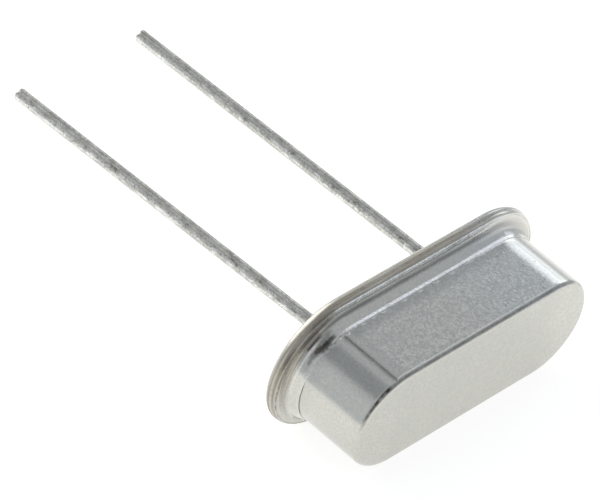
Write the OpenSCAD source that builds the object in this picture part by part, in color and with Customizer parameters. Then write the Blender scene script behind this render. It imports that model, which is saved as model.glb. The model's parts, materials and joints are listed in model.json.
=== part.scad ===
// Two-lead quartz crystal in a low-profile welded metal can.
//
// A drawn cover is welded by its flange to a stamped base. Two round leads pass
// through glass seals in the base, and each carries a small spring clip inside.
// The clips hold a flat quartz strip by its ends, with a silver electrode on
// either face, and a dot of conductive adhesive bonds each end to its clip.
//
// The modules are drawn upright: Z = 0 is the face that seats on a board, the can
// rises towards +Z and the leads point down, side by side along X. laid_down() then
// turns the finished part over on to its long side, which is how it rests when it
// is loose: the edge of the flange and the edge of the can's top touch the table.

/* [Can] */
// Length of the welded flange
flange_l = 11; // [10.6:0.05:11.4]
// Width of the welded flange
flange_w = 4.76; // [4.7:0.02:4.8]
// Width of the can above its skirt
can_w = 3.64; // [3.6:0.02:3.7]
// Height of the can's top above the seating face
can_h = 3.35; // [3.2:0.05:3.7]
// Thickness of the cover's sheet
sheet_t = 0.2; // [0.18:0.01:0.22]
// Outer radius between the can's top and its wall
top_r = 0.2; // [0.12:0.01:0.25]
// Thickness of the cover's half of the flange
flange_t = 0.18; // [0.16:0.01:0.2]
// Rounding of the flange's upper edge
flange_edge_r = 0.1; // [0.08:0.01:0.12]
// Radius of the fillet between the flange and the can's skirt
fillet_r = 0.25; // [0.22:0.01:0.26]
// Height of the skirt's top above the seating face
skirt_h = 0.9; // [0.86:0.01:0.94]
// Slope of the skirt's face, in degrees
skirt_taper = 14; // [10:1:18]

/* [Base] */
// Thickness of the base's sheet
base_t = 0.28; // [0.26:0.01:0.3]
// Rounding of the base's lower outer edge
base_edge_r = 0.24; // [0.16:0.01:0.24]
// Depth of the recess under the base
recess_d = 0.26; // [0.22:0.01:0.3]
// Gap between the base's raised middle and the can's inner wall
spigot_gap = 0.1; // [0.08:0.01:0.14]
// Bore of the eyelet that holds each glass seal
eyelet_d = 1.3; // [1.2:0.05:1.4]
// Wall of the eyelet's collar
eyelet_wall = 0.14; // [0.12:0.01:0.16]
// Height of the collar's rim above the seating face
eyelet_h = 0.92; // [0.88:0.01:0.96]

/* [Leads] */
// Distance between the two leads
lead_pitch = 4.88; // [4.8:0.02:4.9]
// Diameter of a lead over its tin
lead_d = 0.43; // [0.4:0.01:0.45]
// Thickness of the tin on the outer leads
tin_t = 0.01; // [0.008:0.001:0.012]
// Length of the left lead below the seating face
left_l = 13.7; // [8:0.1:14]
// Length of the right lead below the seating face
right_l = 13.4; // [8:0.1:14]
// Diameter of the flat head inside the can
head_d = 0.86; // [0.8:0.02:0.9]
// Thickness of that head
head_t = 0.1; // [0.08:0.01:0.12]
// Turn of the left lead about X and about Y where it leaves the glass, in degrees
left_lean = [-1.5, 1.15]; // [-2:0.05:2]
// Turn of the right lead about X and about Y, in degrees
right_lean = [-0.6, 1.4]; // [-2:0.05:2]

/* [Crystal] */
// Length of the quartz strip
blank_l = 8; // [7.8:0.05:8.1]
// Width of the quartz strip
blank_w = 2; // [1.6:0.1:2]
// Thickness of the quartz strip, which sets its frequency
blank_t = 0.21; // [0.14:0.01:0.3]
// Height of the quartz strip's lower face above the seating face
blank_z = 1.85; // [1.8:0.01:1.9]
// Length of the electrode in the middle of each face
electrode_l = 4; // [3.6:0.1:4.4]
// Width of that electrode
electrode_w = 1.4; // [1.2:0.1:1.5]
// Thickness that the silver film is drawn with
film_t = 0.02; // [0.01:0.005:0.02]
// Width of a spring clip
clip_w = 1; // [0.8:0.05:1.1]
// Thickness of a spring clip's strip
clip_t = 0.1; // [0.08:0.01:0.1]
// Radius of the dot of adhesive on each end of the quartz
dot_r = 0.5; // [0.45:0.01:0.55]

/* [Hidden] */
$fn = 96;
// How far a cut runs on past the face it opens
past = 1;

// Every oblong outline of the can and base follows one spine, so all have round ends
spine_l = flange_l - flange_w;
can_r = can_w / 2;
flange_r = flange_w / 2;
inner_r = can_r - sheet_t;

// Cover: from the crest of the flange a fillet runs up into a tapered skirt, and the top of
// the skirt is a narrow ledge at the foot of the wall
weld_z = base_t;
crest_z = weld_z + flange_t;
rim_step = 0.02;
cover_rim_r = flange_r - rim_step;
crest_r = cover_rim_r - flange_edge_r;
crest_land = 0.01;
fillet_x = crest_r - crest_land;
fillet_z = crest_z + fillet_r;
// Direction square to the skirt's face
skirt_out = [cos(skirt_taper), sin(skirt_taper)];
skirt_r = fillet_x - (fillet_r + (skirt_h - fillet_z) * skirt_out[1]) / skirt_out[0];
skirt_edge_r = 0.03;
skirt_edge = [skirt_r - skirt_edge_r * (1 - skirt_out[1]) / skirt_out[0], skirt_h - skirt_edge_r];
ledge_corner_r = 0.03;
thinning = 0.08;
inner_skirt_r = skirt_r - sheet_t;
inner_skirt_h = skirt_h - sheet_t;
inner_fillet_r = fillet_r + thinning;
inner_fillet_sink = 0.04;
inner_top_r = 0.06;
seam_chamfer = 0.04;

// Base: a raised middle inside the can and a recess below it
floor_z = recess_d + base_t;
spigot_r = inner_r - spigot_gap;
recess_r = spigot_r - base_t;
press_r = 0.08;
eyelet_r = eyelet_d / 2;
collar_r = eyelet_r + eyelet_wall;

// Glass: each end is hollowed into a shallow ring between collar and lead
glass_bulge = 0.02;
glass_low_z = recess_d - glass_bulge;
glass_high_z = eyelet_h;
glass_land = 0.04;
meniscus_d = 0.06;

// Leads: a bare shank in the glass, a flat head above it and a tinned leg below
lead_x = lead_pitch / 2;
leg_r = lead_d / 2;
shank_r = leg_r - tin_t;
leg_top_z = 0.06;
shank_sink = 0.15;
tip_r = 0.06;
head_gap = 0.1;
head_z = eyelet_h + head_gap;
head_edge_r = 0.03;
foot_z = head_z + head_t;

// Clips: foot on the head, sloping arm, shelf under the quartz and a lip at its end
shelf_z = blank_z - film_t;
end_gap = 0.12;
lip_x = blank_l / 2 + end_gap;
lip_h = 0.42;
clip_foot = 0.36;
clip_arm = 0.36;
foot_mid_z = foot_z + clip_t / 2;
shelf_mid_z = shelf_z - clip_t / 2;
clip_path = [[lead_x - clip_foot, foot_mid_z], [lead_x + clip_foot, foot_mid_z],
             [lead_x + clip_foot + clip_arm, shelf_mid_z], [lip_x + clip_t / 2, shelf_mid_z],
             [lip_x + clip_t / 2, shelf_z + lip_h]];

// Quartz: the ends are bevelled on both faces
bevel_l = 0.5;
bevel_d = 0.03;
tab_w = 0.6;
tab_reach = blank_l / 2 - bevel_l;
dot_inset = 0.1;
dot_x = blank_l / 2 - dot_inset;

// Rest: the flange's rounded edge and the can's rounded top edge both touch the table,
// so the part leans by the slope of the line that touches both round edges
edge_dy = crest_r - (can_r - top_r);
edge_dz = (can_h - top_r) - (crest_z - flange_edge_r);
rest_tilt = acos((top_r - flange_edge_r) / norm([edge_dy, edge_dz])) - atan2(edge_dz, edge_dy);
rest_lift = crest_r * cos(rest_tilt) + (crest_z - flange_edge_r) * sin(rest_tilt) + flange_edge_r;
cap_reach = (can_h - top_r) * cos(rest_tilt) + (can_r - top_r) * sin(rest_tilt) + top_r;
lead_reach = left_l * cos(rest_tilt) + (leg_r - left_l * sin(left_lean[0])) * sin(rest_tilt);
rest_shift = (lead_reach - cap_reach) / 2;

// Sweeps an outline of offset and height round the spine
module oblong() {
    for (end = [0, 180])
        rotate([0, 0, end]) translate([spine_l / 2, 0, 0])
            rotate([0, 0, -90]) rotate_extrude(angle = 180) children();
    rotate([90, 0, 90]) linear_extrude(height = spine_l, center = true) {
        children();
        mirror([1, 0]) children();
    }
}

// Outline of the material that fills a square inside corner with a fillet
module corner_fill(r) {
    difference() {
        square(r);
        translate([r, r]) circle(r = r);
    }
}

// Outline of a block from the axis out to r, between two heights, with its upper corner rounded
module rounded_block(r, low, high, corner) {
    translate([0, low]) square([r - corner, high - low]);
    translate([0, low]) square([r, high - low - corner]);
    translate([r - corner, high - corner]) circle(r = corner);
}

// Outline of the skirt, from the flange's crest up to the ledge
module skirt() {
    difference() {
        polygon([[0, crest_z], [fillet_x, crest_z], [fillet_x, fillet_z] - fillet_r * skirt_out,
                 skirt_edge + skirt_edge_r * skirt_out, [skirt_edge[0], skirt_h], [0, skirt_h]]);
        translate([fillet_x, fillet_z]) circle(r = fillet_r);
    }
    translate(skirt_edge) circle(r = skirt_edge_r);
}

module cover_outside() {
    rounded_block(can_r, crest_z, can_h, top_r);
    translate([can_r, skirt_h]) corner_fill(ledge_corner_r);
    skirt();
    difference() {
        polygon([[0, weld_z], [cover_rim_r - seam_chamfer, weld_z], [cover_rim_r, weld_z + seam_chamfer],
                 [cover_rim_r, crest_z], [0, crest_z]]);
        translate([cover_rim_r, crest_z]) rotate(180) corner_fill(flange_edge_r);
    }
}

module cover_inside() {
    low_z = weld_z + inner_fillet_r - inner_fillet_sink;
    rounded_block(inner_r, 0, can_h - sheet_t, inner_top_r);
    polygon([[0, 0], [inner_skirt_r, 0], [inner_skirt_r, inner_skirt_h],
             [inner_r, inner_skirt_h + inner_skirt_r - inner_r], [0, inner_skirt_h]]);
    difference() {
        square([inner_skirt_r + inner_fillet_r, low_z]);
        translate([inner_skirt_r + inner_fillet_r, low_z]) circle(r = inner_fillet_r);
    }
}

module cover() {
    color("lightgray") oblong() difference() {
        cover_outside();
        cover_inside();
    }
}

module base_section() {
    difference() {
        union() {
            difference() {
                polygon([[0, 0], [flange_r, 0], [flange_r, base_t - seam_chamfer],
                         [flange_r - seam_chamfer, base_t], [0, base_t]]);
                translate([flange_r, 0]) mirror([1, 0]) corner_fill(base_edge_r);
            }
            rounded_block(spigot_r, 0, floor_z, press_r);
            translate([spigot_r, base_t]) corner_fill(press_r);
        }
        rounded_block(recess_r, -past, recess_d, press_r);
        translate([recess_r, 0]) corner_fill(press_r);
    }
}

// One eyelet: the sheet is pierced and drawn up into a collar, with a fillet at its foot
module eyelet_collar() {
    cylinder(h = eyelet_h, r = collar_r);
    translate([0, 0, floor_z]) rotate_extrude() translate([collar_r, 0]) corner_fill(press_r);
}

module base() {
    color("silver") difference() {
        union() {
            oblong() base_section();
            for (side = [-1, 1])
                translate([side * lead_x, 0, 0]) intersection() {
                    eyelet_collar();
                    translate([0, 0, recess_d]) cylinder(h = eyelet_h, r = 2 * collar_r);
                }
        }
        for (side = [-1, 1])
            translate([side * lead_x, 0, -past]) cylinder(h = eyelet_h + 2 * past, r = eyelet_r);
    }
}

module glass_seal() {
    mid_r = (eyelet_r + shank_r) / 2;
    half_w = (eyelet_r - shank_r) / 2 - glass_land;
    ring_r = (half_w * half_w + meniscus_d * meniscus_d) / (2 * meniscus_d);
    color("darkslategray") rotate_extrude() difference() {
        translate([shank_r, glass_low_z]) square([eyelet_r - shank_r, glass_high_z - glass_low_z]);
        translate([mid_r, glass_low_z + meniscus_d - ring_r]) circle(r = ring_r);
        translate([mid_r, glass_high_z - meniscus_d + ring_r]) circle(r = ring_r);
    }
}

// A lead whose leg of the given length is turned by lean, about X and about Y, where it leaves the glass
module lead(leg_l, lean) {
    color("gainsboro") {
        translate([0, 0, leg_top_z - shank_sink])
            cylinder(h = head_z + head_t / 2 - leg_top_z + shank_sink, r = shank_r);
        translate([0, 0, head_z]) rotate_extrude() {
            square([head_d / 2 - head_edge_r, head_t]);
            translate([0, head_edge_r]) square([head_d / 2, head_t - 2 * head_edge_r]);
            for (z = [head_edge_r, head_t - head_edge_r])
                translate([head_d / 2 - head_edge_r, z]) circle(r = head_edge_r);
        }
        translate([0, 0, leg_top_z]) rotate([lean[0], lean[1], 0]) mirror([0, 0, 1])
            rotate_extrude() rounded_block(leg_r, 0, leg_l + leg_top_z, tip_r);
    }
}

// A straight length of clip strip, seen from its edge
module strip(from, to) {
    run = to - from;
    translate(from) rotate(atan2(run[1], run[0]))
        translate([0, -clip_t / 2]) square([norm(run), clip_t]);
}

module clip() {
    color("darkgray") rotate([90, 0, 0]) linear_extrude(height = clip_w, center = true) {
        for (i = [1 : len(clip_path) - 1]) strip(clip_path[i - 1], clip_path[i]);
        for (i = [1 : len(clip_path) - 2]) translate(clip_path[i]) circle(d = clip_t);
    }
}

module quartz_blank() {
    half = blank_l / 2;
    flat = half - bevel_l;
    low = bevel_d;
    high = blank_t - bevel_d;
    color("lightcyan", 0.6) translate([0, 0, blank_z]) rotate([90, 0, 0])
        linear_extrude(height = blank_w, center = true)
            polygon([[-flat, 0], [flat, 0], [half, low], [half, high],
                     [flat, blank_t], [-flat, blank_t], [-half, high], [-half, low]]);
}

// A film of silver: a pad in the middle and a narrow tab out to one end
module electrode() {
    color("whitesmoke") linear_extrude(height = film_t) {
        translate([-electrode_l / 2, -electrode_w / 2]) square([electrode_l, electrode_w]);
        translate([0, -tab_w / 2]) square([tab_reach, tab_w]);
    }
}

module electrode_upper() {
    translate([0, 0, blank_z + blank_t]) mirror([1, 0, 0]) electrode();
}

module electrode_lower() {
    translate([0, 0, blank_z - film_t]) electrode();
}

// A domed dot of adhesive over one end of the quartz, which it fills down to the clip
module adhesive(side) {
    color("dimgray") difference() {
        mirror([side < 0 ? 1 : 0, 0, 0]) intersection() {
            translate([dot_x, 0, blank_z + blank_t / 2]) sphere(r = dot_r);
            translate([lip_x - 2 * dot_r, -dot_r, shelf_z]) cube(2 * dot_r);
        }
        quartz_blank();
        electrode_upper();
        electrode_lower();
    }
}

// Upright to laid down: X goes to Y and the can's top to +X, then the lean on the table
module laid_down() {
    translate([rest_shift, 0, rest_lift]) rotate([0, rest_tilt, 0]) rotate([90, 0, 90]) children();
}

laid_down() cover();
laid_down() base();
laid_down() translate([-lead_x, 0, 0]) glass_seal();  // glass_seal_left
laid_down() translate([lead_x, 0, 0]) glass_seal();  // glass_seal_right
laid_down() translate([-lead_x, 0, 0]) lead(left_l, left_lean);  // lead_left
laid_down() translate([lead_x, 0, 0]) lead(right_l, right_lean);  // lead_right
laid_down() mirror([1, 0, 0]) clip();  // clip_left
laid_down() clip();  // clip_right
laid_down() quartz_blank();
laid_down() electrode_upper();
laid_down() electrode_lower();
laid_down() adhesive(-1);  // adhesive_left
laid_down() adhesive(1);  // adhesive_right
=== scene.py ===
import bpy
import bmesh
import json
import math
import random
from mathutils import Matrix, Vector, noise


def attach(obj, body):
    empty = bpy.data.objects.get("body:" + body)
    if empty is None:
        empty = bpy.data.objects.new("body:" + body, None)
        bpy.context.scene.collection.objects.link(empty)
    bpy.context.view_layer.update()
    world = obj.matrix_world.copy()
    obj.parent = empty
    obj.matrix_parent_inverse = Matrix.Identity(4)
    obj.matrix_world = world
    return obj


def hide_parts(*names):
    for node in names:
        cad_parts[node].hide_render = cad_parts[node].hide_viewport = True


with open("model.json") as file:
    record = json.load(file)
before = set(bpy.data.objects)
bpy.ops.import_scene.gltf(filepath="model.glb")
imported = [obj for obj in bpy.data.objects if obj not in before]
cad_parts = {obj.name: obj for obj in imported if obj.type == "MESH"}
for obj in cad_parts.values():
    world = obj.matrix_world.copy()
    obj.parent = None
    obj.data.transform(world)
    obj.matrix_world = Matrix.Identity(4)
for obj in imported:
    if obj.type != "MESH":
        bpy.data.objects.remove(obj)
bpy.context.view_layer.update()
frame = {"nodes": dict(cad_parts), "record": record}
nodes = frame["nodes"]
print("frame loaded:", len(nodes), "nodes")

# Lengths below are in millimetres on the upright part: its seating face is z = 0,
# its can rises towards +z and its leads point down, side by side along x.
mm = 0.001
mounts = {m["name"]: m for m in frame["record"]["mounts"]}


def layDown():
    # The seating face and the leads' feet say where the upright part lies in the frame.
    up = -Vector(mounts["board_seat"]["axis"]).normalized()
    along = Vector((0.0, 1.0, 0.0))
    feet = [Vector(mounts[name]["pos_m"]) for name in ("lead_pin_left", "lead_pin_right")]
    foot = (feet[0] + feet[1]) / 2
    foot.y = 0.0
    turn = Matrix((along, up.cross(along), up)).transposed().to_4x4()
    return Matrix.Translation(foot) @ turn @ Matrix.Scale(mm, 4)


laid = layDown()

can = {
    "pitch": 4.88,
    "flangeLength": 10.99,
    "flangeWidth": 4.756,
    "canWidth": 3.64,
    "canHeight": 3.35,
    "sheet": 0.2,
    "topRadius": 0.2,
    "baseSheet": 0.28,
    "flangeSheet": 0.18,
    "chamfer": 0.04,
}
can["spine"] = can["flangeLength"] - can["flangeWidth"]  # straight run between the round ends

meshing = {
    "mergeWithin": 1e-5,
    "sliverUnder": 1e-6,
    "sharpOver": 40,
}


def arc(centre, radius, start, end, steps):
    # Points of an outline's round stretch, angles in degrees from the outline's r axis.
    turn = [math.radians(start + (end - start) * i / steps) for i in range(steps + 1)]
    return [(centre[0] + radius * math.cos(a), centre[1] + radius * math.sin(a)) for a in turn]


def run(start, end, steps):
    # Points of a straight stretch without its two ends.
    return [(start[0] + (end[0] - start[0]) * i / steps, start[1] + (end[1] - start[1]) * i / steps)
            for i in range(1, steps)]


def ovalStations(spine, arcSteps, runSteps, extraAngles=()):
    # One turn round the oval: where each station stands on the spine and which way is out.
    angles = {-90 + 180 * i / arcSteps for i in range(arcSteps)} | set(extraAngles)
    stations = []
    for side in (1, -1):
        for angle in sorted(angles):
            a = math.radians(angle)
            stations.append((side * spine / 2, Vector((side * math.cos(a), side * math.sin(a), 0))))
        for i in range(runSteps):
            stations.append((side * spine * (0.5 - i / runSteps), Vector((0, side, 0))))
    return stations


def joinRings(bm, rings, closed=False):
    # Faces from each ring of points to the next, and from the last one back to the first.
    count = len(rings[0])
    for i, ring in enumerate(rings):
        other = rings[(i + 1) % len(rings)]
        for j in range(count if closed else count - 1):
            k = (j + 1) % count
            bm.faces.new((ring[j], ring[k], other[k], other[j]))


def sweepOval(bm, outline, stations):
    # Sweeps an outline of (r, z) round the oval. Its ends meet on the spine where r is 0.
    rings = [[bm.verts.new((x + out.x * r, out.y * r, z)) for r, z in outline] for x, out in stations]
    joinRings(bm, rings)
    return rings


def turned(bm, outline, centreX, steps):
    # A turned form round an upright axis that stands on the spine at centreX.
    rings = []
    for i in range(steps):
        a = 2 * math.pi * i / steps
        rings.append([bm.verts.new((centreX + r * math.cos(a), r * math.sin(a), z)) for r, z in outline])
    joinRings(bm, rings)
    return rings


def finishPiece(name, bm, material, replaced=(), sharp=meshing["sharpOver"]):
    # Lays the upright mesh down in the frame and hands it to the body it rides on.
    bmesh.ops.remove_doubles(bm, verts=bm.verts, dist=meshing["mergeWithin"])
    bmesh.ops.dissolve_degenerate(bm, edges=bm.edges, dist=meshing["sliverUnder"])
    bmesh.ops.recalc_face_normals(bm, faces=bm.faces)
    bmesh.ops.transform(bm, matrix=laid, verts=bm.verts)
    mesh = bpy.data.meshes.new(name)
    bm.to_mesh(mesh)
    bm.free()
    mesh.materials.append(material)
    mesh.shade_smooth()
    mesh.set_sharp_from_angle(angle=math.radians(sharp))
    piece = bpy.data.objects.new(name, mesh)
    bpy.context.scene.collection.objects.link(piece)
    if replaced:
        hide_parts(*replaced)
    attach(piece, "root")
    print(name, len(mesh.polygons), "faces")
    return piece


def newFinish(name):
    material = bpy.data.materials.new(name)
    material.use_nodes = True
    tree = material.node_tree
    return material, tree, tree.nodes["Principled BSDF"]


def feed(tree, socket, value):
    # A socket takes either a link from another node or a plain value.
    if hasattr(value, "is_output"):
        tree.links.new(value, socket)
    else:
        socket.default_value = value


def calc(tree, operation, a, b=0.0, c=0.0):
    node = tree.nodes.new("ShaderNodeMath")
    node.operation = operation
    for socket, value in zip(node.inputs, (a, b, c)):
        feed(tree, socket, value)
    return node.outputs[0]


def times(tree, *factors):
    product = factors[0]
    for factor in factors[1:]:
        product = calc(tree, "MULTIPLY", product, factor)
    return product


def largest(tree, *levels):
    top = levels[0]
    for level in levels[1:]:
        top = calc(tree, "MAXIMUM", top, level)
    return top


def vectorCalc(tree, operation, a, b=None):
    # Gives a plain value for a dot product or a length, and otherwise a vector.
    node = tree.nodes.new("ShaderNodeVectorMath")
    node.operation = operation
    feed(tree, node.inputs[0], a)
    if b is not None:
        feed(tree, node.inputs[1], b)
    return node.outputs["Value" if operation in ("DOT_PRODUCT", "LENGTH") else "Vector"]


def ramp(tree, value, low, high, toLow=0.0, toHigh=1.0):
    # Eases from toLow to toHigh while value goes from low to high.
    node = tree.nodes.new("ShaderNodeMapRange")
    node.interpolation_type = "SMOOTHSTEP"
    for socket, number in zip(node.inputs, (value, low, high, toLow, toHigh)):
        feed(tree, socket, number)
    return node.outputs[0]


def band(tree, value, middle, half, soft):
    # One within half of the middle value, falling to nothing over soft.
    away = calc(tree, "ABSOLUTE", calc(tree, "SUBTRACT", value, middle))
    return ramp(tree, away, half, half + soft, 1.0, 0.0)


def mark(tree, fields, rows):
    # A mark is the product of its rows. (field, low, high) and, where given, the levels there
    # is a ramp; (field, "near", middle, half, soft) is a band; a plain number is a strength;
    # a word alone, or in place of a level, is a field as it is.
    factors = []
    for row in rows:
        if isinstance(row, (float, str)):
            factors.append(fields.get(row, row))
        elif row[1] == "near":
            factors.append(band(tree, fields[row[0]], *row[2:]))
        else:
            factors.append(ramp(tree, fields[row[0]], *[fields.get(item, item) for item in row[1:]]))
    return times(tree, *factors)


def blend(tree, factor, a, b, mode="MIX"):
    node = tree.nodes.new("ShaderNodeMix")
    node.data_type = "RGBA"
    node.blend_type = mode
    feed(tree, node.inputs[0], factor)
    for socket, value in ((node.inputs[6], a), (node.inputs[7], b)):
        feed(tree, socket, value if hasattr(value, "is_output") else tuple(value) + (1,))
    return node.outputs[2]


def partSpace(tree):
    # Where a shaded point lies on the upright part, in millimetres: its place, how far it is
    # to either side of the middle (width) and from the oval's spine (r), and its height (z).
    back = laid.inverted()
    coords = tree.nodes.new("ShaderNodeTexCoord")
    mapping = tree.nodes.new("ShaderNodeMapping")
    mapping.inputs["Location"].default_value = back.translation
    mapping.inputs["Rotation"].default_value = back.to_euler("XYZ")
    mapping.inputs["Scale"].default_value = (1 / mm, 1 / mm, 1 / mm)
    tree.links.new(coords.outputs["Object"], mapping.inputs["Vector"])
    split = tree.nodes.new("ShaderNodeSeparateXYZ")
    tree.links.new(mapping.outputs[0], split.inputs[0])
    x, y, z = split.outputs
    width = calc(tree, "ABSOLUTE", x)
    over = calc(tree, "MAXIMUM", calc(tree, "SUBTRACT", width, can["spine"] / 2), 0.0)
    square = calc(tree, "ADD", calc(tree, "MULTIPLY", over, over), calc(tree, "MULTIPLY", y, y))
    return {"place": mapping.outputs[0], "x": x, "y": y, "z": z, "width": width,
            "r": calc(tree, "SQRT", square)}


def grain(tree, place, size, detail=2.0, rough=0.5, stretch=None, distortion=0.0):
    # Noise whose lumps are about size millimetres across.
    if stretch:
        mapping = tree.nodes.new("ShaderNodeMapping")
        mapping.inputs["Scale"].default_value = stretch
        tree.links.new(place, mapping.inputs["Vector"])
        place = mapping.outputs["Vector"]
    node = tree.nodes.new("ShaderNodeTexNoise")
    node.inputs["Scale"].default_value = 1 / size
    node.inputs["Detail"].default_value = detail
    node.inputs["Roughness"].default_value = rough
    node.inputs["Distortion"].default_value = distortion
    tree.links.new(place, node.inputs["Vector"])
    return node.outputs["Fac"]


def cells(tree, place, spacing):
    node = tree.nodes.new("ShaderNodeTexVoronoi")
    node.inputs["Scale"].default_value = 1 / spacing
    tree.links.new(place, node.inputs["Vector"])
    return node


def scattered(tree, place, spacing, reach, low, high):
    # Dots spread about spacing apart, kept where a random number of each lies from low to high.
    node = cells(tree, place, spacing)
    split = tree.nodes.new("ShaderNodeSeparateColor")
    tree.links.new(node.outputs["Color"], split.inputs[0])
    kept = calc(tree, "COMPARE", split.outputs[0], (low + high) / 2, (high - low) / 2)
    return calc(tree, "MULTIPLY", ramp(tree, node.outputs["Distance"], reach, 2 * reach, 1.0, 0.0), kept)


def surface(tree, shader, colour, rough, layers):
    # Links the colour and roughness, and stacks the layers, each (height field, depth in
    # millimetres), on the shader's normal.
    tree.links.new(colour, shader.inputs["Base Color"])
    tree.links.new(rough, shader.inputs["Roughness"])
    normal = None
    for field, depth in layers:
        node = tree.nodes.new("ShaderNodeBump")
        node.inputs["Strength"].default_value = 1.0
        node.inputs["Distance"].default_value = depth * mm
        tree.links.new(field, node.inputs["Height"])
        if normal:
            tree.links.new(normal, node.inputs["Normal"])
        normal = node.outputs["Normal"]
    tree.links.new(normal, shader.inputs["Normal"])


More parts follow.
